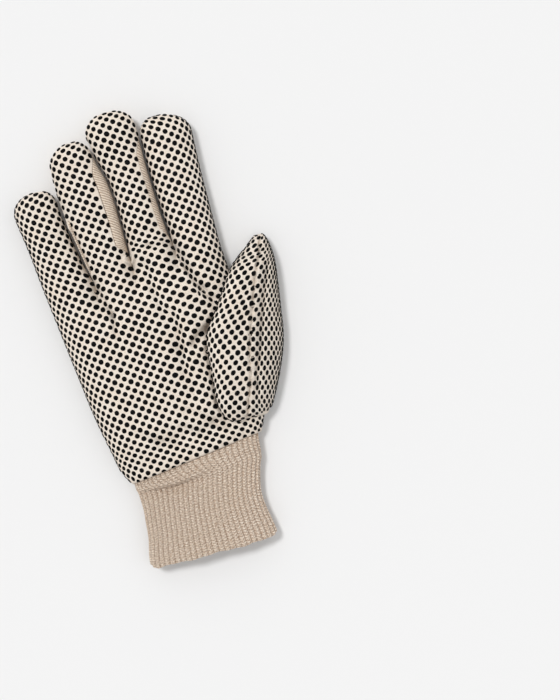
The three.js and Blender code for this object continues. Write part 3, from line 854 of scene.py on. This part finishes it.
def dotted_section(k, y, pressed=False, steps=96, reach=22):
    """Points along the dotted cloth of strand k at places y, and its first and last column.

    On the little finger's and the index finger's side the cloth runs on round the outer edge and
    under to the seam of the back. Below a crotch it runs on into the next strand, so that a dot on
    the line between them stays whole.
    """
    front = np.linspace(0, 1, steps + 1)[None, :]
    along = np.broadcast_to(y[:, None], (len(y), steps + 1))

    def top_of(n):
        angle = mix(PI - plain_left(n, along), plain_right(n, along), front)
        return strand_point(n, angle, along, pressed=pressed)

    def beyond(n, crotch, columns, edge):
        own = np.repeat(edge[:, None], columns.stop - columns.start, 1)
        return np.where((y < CROTCH_ALONG[crotch])[:, None, None], top_of(n)[:, columns], own)

    top = top_of(k)
    under = strand_point(k, mix(2 * PI, PI, front) + 0 * along, along, back=True)
    parts = [top]
    before = 0
    own = steps
    if k == 0:
        parts = [under[:, :-1], top]
        own = 2 * steps
    if k == 3:
        parts = [top, under[:, 1:]]
        own = 2 * steps
    if k > 0:
        parts.insert(0, beyond(k - 1, k, slice(steps - reach, steps), top[:, 0]))
        before = reach
    if k < 3:
        parts.append(beyond(k + 1, k + 1, slice(1, reach + 1), top[:, -1]))
    return np.concatenate(parts, 1), before, before + own


def flat_lengths(k, y, steps=96, reach=22):
    """Flat-cloth coordinates of dotted_section's points: measured on the pressed cloth.

    Crosswise they run from the top of the strand's section, placed by palm_centres. Lengthwise they
    are the place itself in the hand and the length along the finger beyond it.
    """
    points, before, _ = dotted_section(k, y, True, steps, reach)
    arc = arc_lengths(points, 1, gathered(points[..., 0], y[:, None]))
    swept = PI - plain_left(k, y) - plain_right(k, y)
    centre = before + (steps if k == 0 else 0) + steps * (PI / 2 - plain_left(k, y)) / swept
    low = np.floor(centre).astype(int)
    pick = np.arange(len(y))
    middle = mix(arc[pick, low], arc[pick, low + 1], centre - low)
    arc = arc - middle[:, None] + np.interp(y, CENTRES["along"], CENTRES[k])[:, None]
    line = strand_point(k, PI / 2 + 0 * y, y, pressed=True)
    line = np.where(y[:, None] < HAND_END, y[:, None] * [0, 1, 0], line - line[y >= HAND_END][0] * [1, 0, 1])
    share = sum(bell(y - at, half, much) for ks, at, half, much in GATHERS_ALONG if k in ks)
    return arc, arc_lengths(line, 0, share) + y[0]


def look_up(points, arcs, rows, across, along, first=0, last=-1):
    """Positions on a surface at flat-cloth coordinates, and whether they lie on it.

    rows holds the lengthwise coordinate of each row of points, and arcs the crosswise one of each
    point. The row is found first, then the place in that row's running lengths. The surface's own
    cloth lies between columns first and last.
    """
    r = np.interp(along, rows, np.arange(len(rows)))
    low = np.clip(r.astype(int), 0, len(rows) - 2)
    part = (r - low)[:, None]
    line = mix(arcs[low], arcs[low + 1], part)
    on = (across > line[:, first]) & (across < line[:, last]) & (along > rows[0]) & (along < rows[-1])
    held = np.clip(across, line[:, 0] + 0.02, line[:, -1] - 0.02)
    c = np.clip((line <= held[:, None]).sum(1) - 1, 0, line.shape[1] - 2)
    pick = np.arange(len(c))
    t = clamp((held - line[pick, c]) / np.maximum(line[pick, c + 1] - line[pick, c], 1e-6))[:, None]
    near = mix(points[low, c], points[low, c + 1], t)
    far = mix(points[low + 1, c], points[low + 1, c + 1], t)
    return mix(near, far, part), on


def spaced(place, kept, least):
    """Which of some places lie at least so far from places that are kept already."""
    if not len(kept):
        return np.ones(len(place), bool)
    gaps = np.linalg.norm(place[:, None] - np.concatenate(kept)[None], axis=2)
    return gaps.min(1) > least


def lattice(low, high, cell, turn, shift):
    """A centred lattice of dots over a box: whole cells and half cells, turned by an angle."""
    reach = int(max(abs(v) for v in (*low, *high)) / min(cell) * 1.5) + 3
    i, j = np.meshgrid(np.arange(-reach, reach + 1.0), np.arange(-reach, reach + 1.0))
    whole = np.stack([i.ravel() * cell[0], j.ravel() * cell[1]], -1)
    both = np.concatenate([whole, whole + np.array(cell) / 2]) + np.array(shift)
    c, s = math.cos(turn), math.sin(turn)
    turned = both @ np.array([[c, s], [-s, c]])
    inside = ((turned > np.array(low)) & (turned < np.array(high))).all(1)
    return turned[inside]


def dot_ring():
    """A dot's outline steps: crosswise, lengthwise and height shares, ring by ring, then its middle."""
    angles = np.arange(DOT_SIDES) * 2 * PI / DOT_SIDES
    rings = [np.stack([r * np.cos(angles), r * np.sin(angles), 0 * angles + h], -1) for r, h in DOT_RINGS]
    return np.concatenate([*rings, [[0.0, 0.0, 1.0]]])


def dot_faces(count):
    """Faces of many dots, each a stack of rings closed by a fan."""
    here = np.arange(DOT_SIDES)
    after = (here + 1) % DOT_SIDES
    top = (len(DOT_RINGS) - 1) * DOT_SIDES
    size = top + DOT_SIDES + 1
    quads = [
        np.stack([r + here, r + after, r + DOT_SIDES + after, r + DOT_SIDES + here], -1)
        for r in range(0, top, DOT_SIDES)
    ]
    parts = (np.concatenate(quads), np.stack([top + here, top + after, 0 * here + size - 1], -1))
    starts = (np.arange(count) * size)[:, None, None]
    return [(part[None] + starts).reshape(-1, part.shape[1]).tolist() for part in parts]


def dots_on(points, arcs, rows, spots, radius, height):
    """Vertices of dots laid on a surface at flat-cloth spots, each vertex following the cloth.

    A dot that would be squeezed to a third or drawn out threefold, as at a fingertip, is left out.
    """
    ring = dot_ring()
    rng = np.random.default_rng(7)
    grown = radius * (1 + 0.05 * rng.standard_normal((len(spots), 1)))
    wobble = 1 + 0.03 * rng.standard_normal((len(spots), len(ring)))
    across = spots[:, :1] + ring[None, :, 0] * grown * wobble
    along = spots[:, 1:] + ring[None, :, 1] * grown * wobble
    on_cloth, _ = look_up(points, arcs, rows, across.ravel(), along.ravel())
    place = on_cloth.reshape(len(spots), len(ring), 3)
    quarter = DOT_SIDES // 4
    wide, tall = (
        np.linalg.norm(place[:, n] - place[:, n + 2 * quarter], axis=1) / radius for n in (0, quarter)
    )
    whole = (np.minimum(wide, tall) > 2 * DOT_SQUEEZE) & (np.maximum(wide, tall) < 2 * DOT_STRETCH)
    step = 0.4
    right, left, ahead, behind = (
        look_up(points, arcs, rows, spots[:, 0] + dx, spots[:, 1] + dy)[0]
        for dx, dy in ((step, 0), (-step, 0), (0, step), (0, -step))
    )
    normal = np.cross(right - left, ahead - behind)
    normal /= np.maximum(np.linalg.norm(normal, axis=1, keepdims=True), 1e-9)
    raised = place + normal[:, None] * ring[None, :, 2:] * height
    raised[..., 1] = np.maximum(raised[..., 1], wrist_seam(raised[..., 0]))
    raised[..., 2] = np.maximum(raised[..., 2], DOT_LOWEST)
    return raised[whole]


def laid_dots(surface, sizes, turn, shift, allowed, kept, least, ends=(0, -1)):
    """Dots on a surface: a lattice's spots on its cloth, where allowed and clear of the kept ones.

    surface holds its points and the flat-cloth coordinates of its columns and rows.
    """
    _, arcs, rows = surface
    spots = lattice((arcs.min(), rows[0]), (arcs.max(), rows[-1]), sizes.cell, turn, shift)
    place, on = look_up(*surface, spots[:, 0], spots[:, 1], *ends)
    on &= allowed(place) & spaced(place, kept, least)
    kept.append(place[on])
    return dots_on(*surface, spots[on], sizes.radius, sizes.height)


def dots_object(name, groups, material):
    """One joined mesh of all the dots of a piece."""
    points = np.concatenate([g.reshape(-1, 3) for g in groups])
    quads, fans = dot_faces(sum(len(g) for g in groups))
    return new_piece(name, points, quads + fans, material)


def strand_places(k):
    """Places along strand k for its dots' surface: even in hand and finger, closer over the tip."""
    length = FINGER_TIPS["length"][k]
    tip_start = FINGER_TIPS["along"][k] - length
    body = np.linspace(-80.4, tip_start, 330)
    return np.concatenate([body, tip_start + length * np.sin(np.linspace(0, 0.985, 40)[1:] * PI / 2)])


def takes_dot(place):
    """Which places on the hand take a dot: past the wrist seam, and clear of the stitched crotch."""
    beside = place[:, 0] - CROTCH_X[2]
    above = place[:, 1] - CROTCH_ALONG[2]
    clear = np.hypot(beside, above + 1) > 3.2
    clear &= (beside < 0) | (np.hypot(beside / 2.6, (above - 3) / 7) > 1)
    return clear & (place[:, 1] > wrist_seam(place[:, 0]) - 0.7)


def right_of_seam(place):
    """Which places lie on the thumb's canvas to the right of its seam."""
    return place[:, 0] - between(THUMB_SEAM, "x", place[:, 1]) > 0.3


def left_of_seam(place):
    """And which of them to the left of it."""
    return ~right_of_seam(place)


# The thumb's two lattices: turn, shift, and the side of the seam that each is for
THUMB_LATTICES = ((-0.3, (0.4, 0.9), left_of_seam), (-0.12, (2.2, 1.6), right_of_seam))


def thumb_bed(x, along):
    """What the thumb lies on: the palm side, then the drape from its edge down to the table."""
    edge = hand_edges(along)[1] + THUMB_SIDE_CLEARANCE
    over = palm_top(np.minimum(x, edge), along, THUMB_SIDE_CLEARANCE) + THUMB_CLEARANCE
    drape = (SIDE_HEIGHT + THUMB_CLEARANCE) * (1 - smooth((x - edge) / PALM_DRAPE))
    return np.where(x <= edge, over, drape)


def thumb_point(angle, along, pressed=False):
    """A point of the thumb's closed section: its crown over a leaning base line, its bed under it.

    The seam is a bell that goes down deeper at each gather, with a lip on both sides and rolls that
    follow the gathers. The fold is a bell too, steeper on its outer side. Pressed, the thumb has
    neither of them and no ripples.
    """
    left = between(THUMB, "left", along)
    right = between(THUMB, "right", along)
    across = np.cos(angle)
    x = mix(left, right, (1 + across) / 2)
    line = mix(thumb_bed(left, along) + THUMB_EDGE_RISE, THUMB_OUTER_EDGE, (1 + across) / 2)
    bed = thumb_bed(x, along)
    rounded = rounding(across, THUMB_SQUARENESS)
    rise = np.maximum(0, between(THUMB, "rise", along))
    closing = clamp(rise / 5)
    base = mix(np.maximum(line, bed), line, closing)
    from_seam, from_fold = (x - between(rows, "x", along) for rows in (THUMB_SEAM, THUMB_FOLD))
    gather = np.sin(along * 1.55 + 1.2 * np.sin(along * 0.43) + np.sign(from_seam) * 0.9)
    groove = (2.3 + 1.1 * gather) * bell(from_seam, 0.75)
    lips = bell(np.abs(from_seam) - 1.9, 1.1, -0.45)
    rolls = 0.8 * gather * bell(from_seam, 3.4) * (np.abs(from_seam) > 0.3)
    fold_ends = smooth((along + 52) / 8) * smooth((28 - along) / 10)
    fold = 3.2 * fold_ends * bell(from_fold, np.where(from_fold > 0, 0.7, 2.6))
    uneven = ripples(x * 0.9 + 30, along * 1.1) * 0.9
    lowered = 0 if pressed else groove + lips + rolls + fold - uneven
    top = base + rise * rounded - lowered * rounded * closing
    under = mix(base, bed, np.minimum(1, THUMB_FLATNESS * rounded) * closing)
    z = np.where(np.sin(angle) >= -1e-9, top, under)
    return np.stack([x, along + 0 * x, z], -1)


def thumb_grid(rows, columns, pressed=False):
    """The thumb's closed surface, with rows closer together at both ends."""
    i, j = np.meshgrid(np.arange(rows + 1.0), np.arange(columns + 1.0), indexing="ij")
    along = mix(THUMB["along"][0], THUMB["along"][-1], (1 - np.cos(PI * i / rows)) / 2)
    return thumb_point(PI - 2 * PI * j / columns, along, pressed)


def thumb_surface(rows=300, columns=400):
    """The thumb's surface for its dots, and the flat-cloth coordinates of its columns and rows.

    They are running lengths of the pressed surface from its top, with more cloth at the thumb's
    edges, in its fold and right of its seam.
    """
    grid, flat = (thumb_grid(rows, columns, pressed) for pressed in (False, True))
    top = columns // 4
    to_edge = 1 - np.abs(np.cos(2 * PI * np.arange(columns + 1) / columns))
    from_seam, from_fold = (
        flat[..., 0] - between(rows, "x", flat[..., 1]) for rows in (THUMB_SEAM, THUMB_FOLD)
    )
    more = bell(to_edge, 0.3, 0.45) + 0.25 * smooth((from_seam - 1) / 4)
    more = more + bell(from_fold + 0.5, 1.8, 0.5)
    arc = arc_lengths(flat, 1, more)
    return grid, arc - arc[:, top : top + 1], arc_lengths(flat[:, top], 0)


def wrist_section(share, steps=400):
    """The knit wrist's section outline at shares of its length: points and running lengths.

    Below the seam its upper side folds along a parabola: a bell deep, wide towards the hem and
    steep towards the seam, with a lower bell as a roll beside it.
    """
    angle = PI - 2 * PI * np.linspace(0, 1, steps + 1)[None, :]
    across = np.cos(angle)
    top = wrist_seam(mix(CUFF_TOP[0], CUFF_TOP[1], (1 + across) / 2)) + WRIST_TUCK
    corner = clamp((np.abs(across) - 1 + HEM_CORNER_WIDTH) / HEM_CORNER_WIDTH)
    hem = CUFF_HEM + HEM_CORNER_RISE * (1 - np.sqrt(1 - corner * corner))
    hem = hem + 0.35 * np.sin(across * 9 + 1) + 0.2 * np.sin(across * 23)
    along = mix(hem, top, share[:, None])
    left = between(CUFF, "left", along)
    right = between(CUFF, "right", along)
    x = mix(left, right, (1 + across) / 2)
    rounded = rounding(across, CUFF_SQUARENESS)
    upper = mix(SIDE_HEIGHT, between(CUFF, "height", along), rounded)
    fold = -86.2 + 0.0045 * (x + 22) ** 2
    reach = smooth((12 - x) / 36) * rounded
    upper = upper - 4.4 * reach * bell(along - fold + 1.0, np.where(along < fold - 1.0, 4.6, 0.7))
    upper = upper + 1.6 * reach * bell(along - fold - 1.4, 1.6)
    upper = upper - 1.7 * smooth((along - top + 3.4) / 2.8) * rounded
    upper = upper + 0.5 * ripples(x * 0.6, along * 0.8) * rounded
    z = np.where(np.sin(angle) >= 0, upper, underside(rounded, CUFF_FLATNESS))
    points = np.stack([x, along, z], -1)
    return points, arc_lengths(points, 1)


def wrist_grid(outer_rows=84, hem_rows=8, inner_rows=26, per_rib=10):
    """The knit wrist as one surface: down the outside, round the hem and back up the inside.

    Columns lie at even running lengths, and lean a little near the seam. The groove between two
    ribs is a squared cosine to a power, and goes in along the section's normal.
    """
    columns = CUFF_RIBS * per_rib
    down = np.linspace(1, 0, outer_rows + 1)
    hem = np.zeros(hem_rows)
    up = np.linspace(0, 1, inner_rows + 1)[1:]
    share = np.concatenate([down, hem, up])
    turn = np.concatenate([0 * down, np.linspace(0, 1, hem_rows + 1)[1:], 0 * up + 1]) * PI
    points, arc = wrist_section(share)
    wanted = np.linspace(0, 1, columns + 1)
    grid = np.empty((len(share), columns + 1, 3))
    lean = 0.05 * smooth((share - 0.74) / 0.26) * (1 - turn / PI)
    leaning = np.sin(PI * clamp(wanted / 0.5)) ** 0.7 * smooth((0.46 - wanted) / 0.3)
    for row, (line, lengths) in enumerate(zip(points, arc)):
        place = wanted - lean[row] * leaning
        for axis in range(3):
            grid[row, :, axis] = np.interp(place * lengths[-1], lengths, line[:, axis])
    along_line = np.roll(grid[:, :-1], -1, 1) - np.roll(grid[:, :-1], 1, 1)
    along_line = np.concatenate([along_line, along_line[:, :1]], 1)
    out = np.stack([-along_line[..., 2], 0 * along_line[..., 0], along_line[..., 0]], -1)
    out /= np.maximum(np.linalg.norm(out, axis=-1, keepdims=True), 1e-9)
    groove = (1 - np.sin(PI * np.arange(columns + 1) / per_rib) ** 2) ** 1.3
    outside = (1 + np.cos(turn))[:, None] / 2
    row = np.arange(len(share))[:, None]
    uneven = 1 + 0.25 * np.sin(row * 0.9 + 2.1 * np.floor(np.arange(columns + 1) / per_rib)[None, :] ** 1.3)
    depth = 0.8 * groove[None, :] * uneven * outside
    depth = depth + (KNIT_WALL + 0.25 * groove[None, :]) * (1 - outside)
    grid = grid - out * depth[..., None]
    grid[..., 1] -= (KNIT_WALL / 2 * np.sin(turn))[:, None] * 0.6
    grid[..., 2] = np.maximum(grid[..., 2], 0)
    lengthwise = np.cumsum(np.concatenate([[0], np.linalg.norm(np.diff(grid[:, 0], axis=0), axis=1)]))
    flat = np.stack(np.broadcast_arrays(wanted[None, :] * ONCE_ROUND, lengthwise[:, None]), -1)
    return grid, flat


class GlovePalm(bpy.types.PropertyGroup):
    """Sizes of the dotted canvas."""

    wall: FloatProperty(
        name="Canvas wall", description="Thickness of the canvas in mm", default=CANVAS_WALL, min=0.3
    )


class GloveDots(bpy.types.PropertyGroup):
    """Sizes of the dots."""

    radius: FloatProperty(name="Radius", description="Radius of a dot in mm", default=1.5, min=0.2)
    height: FloatProperty(name="Height", description="How far a dot stands up in mm", default=0.46, min=0.05)
    cell: FloatVectorProperty(
        name="Cell", description="Lattice cell across and along in mm", size=2, default=(6.0, 5.5)
    )
    grain: FloatProperty(
        name="Grain", description="Turn of the lattice", default=math.radians(6), subtype="ANGLE"
    )


class GloveWrist(bpy.types.PropertyGroup):
    """Mesh steps of the knit wrist."""

    per_rib: IntProperty(name="Columns a rib", description="Mesh columns in each rib", default=10, min=4)


class GLOVE_OT_palm(bpy.types.Operator):
    """Builds the dotted canvas of the palm side, the little finger and the index finger"""

    bl_idname = "glove.palm"
    bl_label = "Palm canvas"

    def execute(self, context):
        grids = [(strand_grid(k, False), False) for k in range(4)]
        grids += [(strand_grid(k, True), True) for k in (0, 3)]
        uvs = [strand_uv(k, g) for k, (g, _) in zip((0, 1, 2, 3, 0, 3), grids)]
        material = canvas_material("dotted_canvas")
        wall = context.scene.glove_palm.wall
        piece = cloth_object("palm_canvas", grids, uvs, material, wall)
        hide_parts("palm_piece")
        return {"FINISHED"}


class GLOVE_OT_back(bpy.types.Operator):
    """Builds the two plain twill panels of the back"""

    bl_idname = "glove.back"
    bl_label = "Back panels"

    def execute(self, context):
        material = twill_material()
        half = SEAM_GAP / 2
        wall = context.scene.glove_palm.wall
        for k, trim, node in (
            (1, (SEAM_GAP, half), "back_panel_ring_side"),
            (2, (half, SEAM_GAP), "back_panel_middle_side"),
        ):
            grid = strand_grid(k, True, trim, BACK_TURN)
            name = node.replace("back_panel", "twill_back")
            piece = cloth_object(name, [(grid, True)], [strand_uv(k, grid)], material, wall)
            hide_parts(node)
        return {"FINISHED"}


class GLOVE_OT_thumb(bpy.types.Operator):
    """Builds the set-in thumb"""

    bl_idname = "glove.thumb"
    bl_label = "Thumb"

    def execute(self, context):
        grid = thumb_grid(THUMB_ROWS, THUMB_COLUMNS)
        arc = arc_lengths(grid, 1)
        top = THUMB_COLUMNS // 4
        uv = np.stack([arc - arc[:, top : top + 1], grid[..., 1]], -1)
        material = canvas_material("thumb_canvas")
        wall = context.scene.glove_palm.wall
        piece = cloth_object("thumb_canvas", [(grid, False)], [uv], material, wall)
        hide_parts("thumb")
        return {"FINISHED"}


class GLOVE_OT_dots(bpy.types.Operator):
    """Lays the raised dots on the canvas of the hand and of the thumb"""

    bl_idname = "glove.dots"
    bl_label = "Dots"

    def execute(self, context):
        sizes = context.scene.glove_dots
        material = dot_material()
        groups = []
        kept = []
        for k in range(4):
            y = strand_places(k)
            points, *ends = dotted_section(k, y)
            surface = (points, *flat_lengths(k, y))
            laid = laid_dots(surface, sizes, sizes.grain, HAND_SHIFT, takes_dot, kept, HAND_SPACING, ends)
            groups.append(laid)
        dots_object("palm_dots", groups, material)
        surface = thumb_surface()
        groups = []
        kept = []
        for turn, shift, side in THUMB_LATTICES:
            groups.append(laid_dots(surface, sizes, turn, shift, side, kept, THUMB_SPACING))
        dots_object("thumb_dots", groups, material)
        return {"FINISHED"}


class GLOVE_OT_wrist(bpy.types.Operator):
    """Builds the ribbed knit wrist"""

    bl_idname = "glove.wrist"
    bl_label = "Knit wrist"

    def execute(self, context):
        grid, flat = wrist_grid(per_rib=context.scene.glove_wrist.per_rib)
        piece = cloth_object("ribbed_wrist", [(grid, True)], [flat], knit_material(), 0.0)
        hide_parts("knit_wrist")
        return {"FINISHED"}


class GLOVE_OT_stage(bpy.types.Operator):
    """Sets the pale floor, the soft light and the camera above the glove"""

    bl_idname = "glove.stage"
    bl_label = "Stage"

    def execute(self, context):
        scene = context.scene
        mesh = bpy.data.meshes.new("floor")
        sides = ((-1, -1), (1, -1), (1, 1), (-1, 1))
        corners = [(x * FLOOR_REACH, y * FLOOR_REACH, FLOOR_DROP) for x, y in sides]
        mesh.from_pydata(corners, [], [(0, 1, 2, 3)])
        mesh.materials.append(floor_material())
        floor = bpy.data.objects.new("floor", mesh)
        scene.collection.objects.link(floor)
        world = bpy.data.worlds.new("studio")
        world.use_nodes = True
        background = world.node_tree.nodes["Background"].inputs
        background["Color"].default_value = (1.0, 1.0, 1.0, 1.0)
        background["Strength"].default_value = ROOM_LIGHT
        scene.world = world
        for name, rise, side, soft, power in LIGHTS:
            data = bpy.data.lights.new(name, "SUN")
            data.angle = math.radians(soft)
            data.energy = power
            light = bpy.data.objects.new(name, data)
            round_from = math.radians(side)
            light.location = (0.3 * math.cos(round_from), 0.3 * math.sin(round_from), 0.6)
            light.rotation_euler = (math.radians(90 - rise), 0.0, math.radians(side + 90))
            scene.collection.objects.link(light)
        data = bpy.data.cameras.new("camera")
        data.sensor_width = 36.0
        data.lens = CAMERA_LENS
        data.clip_end = 10.0
        camera = bpy.data.objects.new("camera", data)
        camera.location = CAMERA_PLACE
        camera.rotation_euler = (0.0, 0.0, math.radians(CAMERA_TURN))
        scene.collection.objects.link(camera)
        scene.camera = camera
        scene.view_settings.view_transform = "Standard"
        return {"FINISHED"}


class GLOVE_PT_panel(bpy.types.Panel):
    """The glove's pieces and their sizes"""

    bl_idname = "GLOVE_PT_panel"
    bl_label = "Dotted Work Glove"
    bl_space_type = "VIEW_3D"
    bl_region_type = "UI"
    bl_category = "Glove"

    def draw(self, context):
        scene = context.scene
        for group, sizes in (
            (scene.glove_palm, ("wall",)),
            (scene.glove_dots, ("radius", "height", "cell", "grain")),
            (scene.glove_wrist, ("per_rib",)),
        ):
            for size in sizes:
                self.layout.prop(group, size)
        for step in STEPS:
            self.layout.operator(step.bl_idname)


STEPS = (GLOVE_OT_palm, GLOVE_OT_back, GLOVE_OT_thumb, GLOVE_OT_dots, GLOVE_OT_wrist, GLOVE_OT_stage)
GROUPS = {"glove_palm": GlovePalm, "glove_dots": GloveDots, "glove_wrist": GloveWrist}


def register():
    """Registers the property groups, the operators and the panel."""
    for name, group in GROUPS.items():
        bpy.utils.register_class(group)
        setattr(bpy.types.Scene, name, PointerProperty(type=group))
    for item in (*STEPS, GLOVE_PT_panel):
        bpy.utils.register_class(item)


def unregister():
    """Undoes register."""
    for item in reversed((*STEPS, GLOVE_PT_panel)):
        bpy.utils.unregister_class(item)
    for name, group in GROUPS.items():
        delattr(bpy.types.Scene, name)
        bpy.utils.unregister_class(group)


def main():
    register()
    bpy.ops.glove.palm()
    bpy.ops.glove.back()
    bpy.ops.glove.thumb()
    bpy.ops.glove.dots()
    bpy.ops.glove.wrist()
    bpy.ops.glove.stage()


if __name__ == "__main__":
    main()
